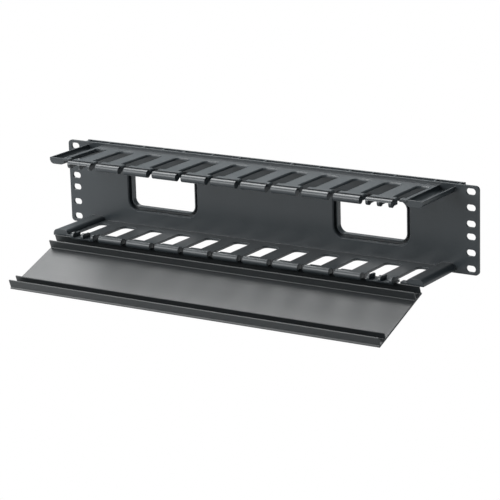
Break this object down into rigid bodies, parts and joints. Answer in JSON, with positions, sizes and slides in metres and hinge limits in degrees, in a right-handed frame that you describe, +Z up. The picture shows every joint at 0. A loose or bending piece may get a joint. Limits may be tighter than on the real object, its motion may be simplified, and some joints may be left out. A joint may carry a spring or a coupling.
{
  "type": "horizontal cable manager",
  "caption": "Rack-mounted horizontal finger duct with T-headed cable fingers, pass-through windows and end gutters, with a clip-on front cover that hinges open.",
  "frame": {"origin": "centre of the front face of the panel, midway between the two ears", "axes": "+X to the right along the rack's width, +Y back into the rack, +Z up"},
  "size_m": [0.4826, 0.1587, 0.1228],
  "materials": {
    "moulded_black": "satin moulded black with a fine grain",
    "cover_black": "smooth satin extruded black"
  },
  "bodies": {
    "duct": {"finger_duct_body": "moulded_black"},
    "cover": {"snap_cover": "cover_black"}
  },
  "joints": [
    {"name": "cover_hinge", "type": "hinge", "parent": "duct", "child": "cover", "pos_m": [0, -0.06832, -0.04145], "axis": [1, 0, 0], "range_deg": [-109.8, 0]}
  ]
}
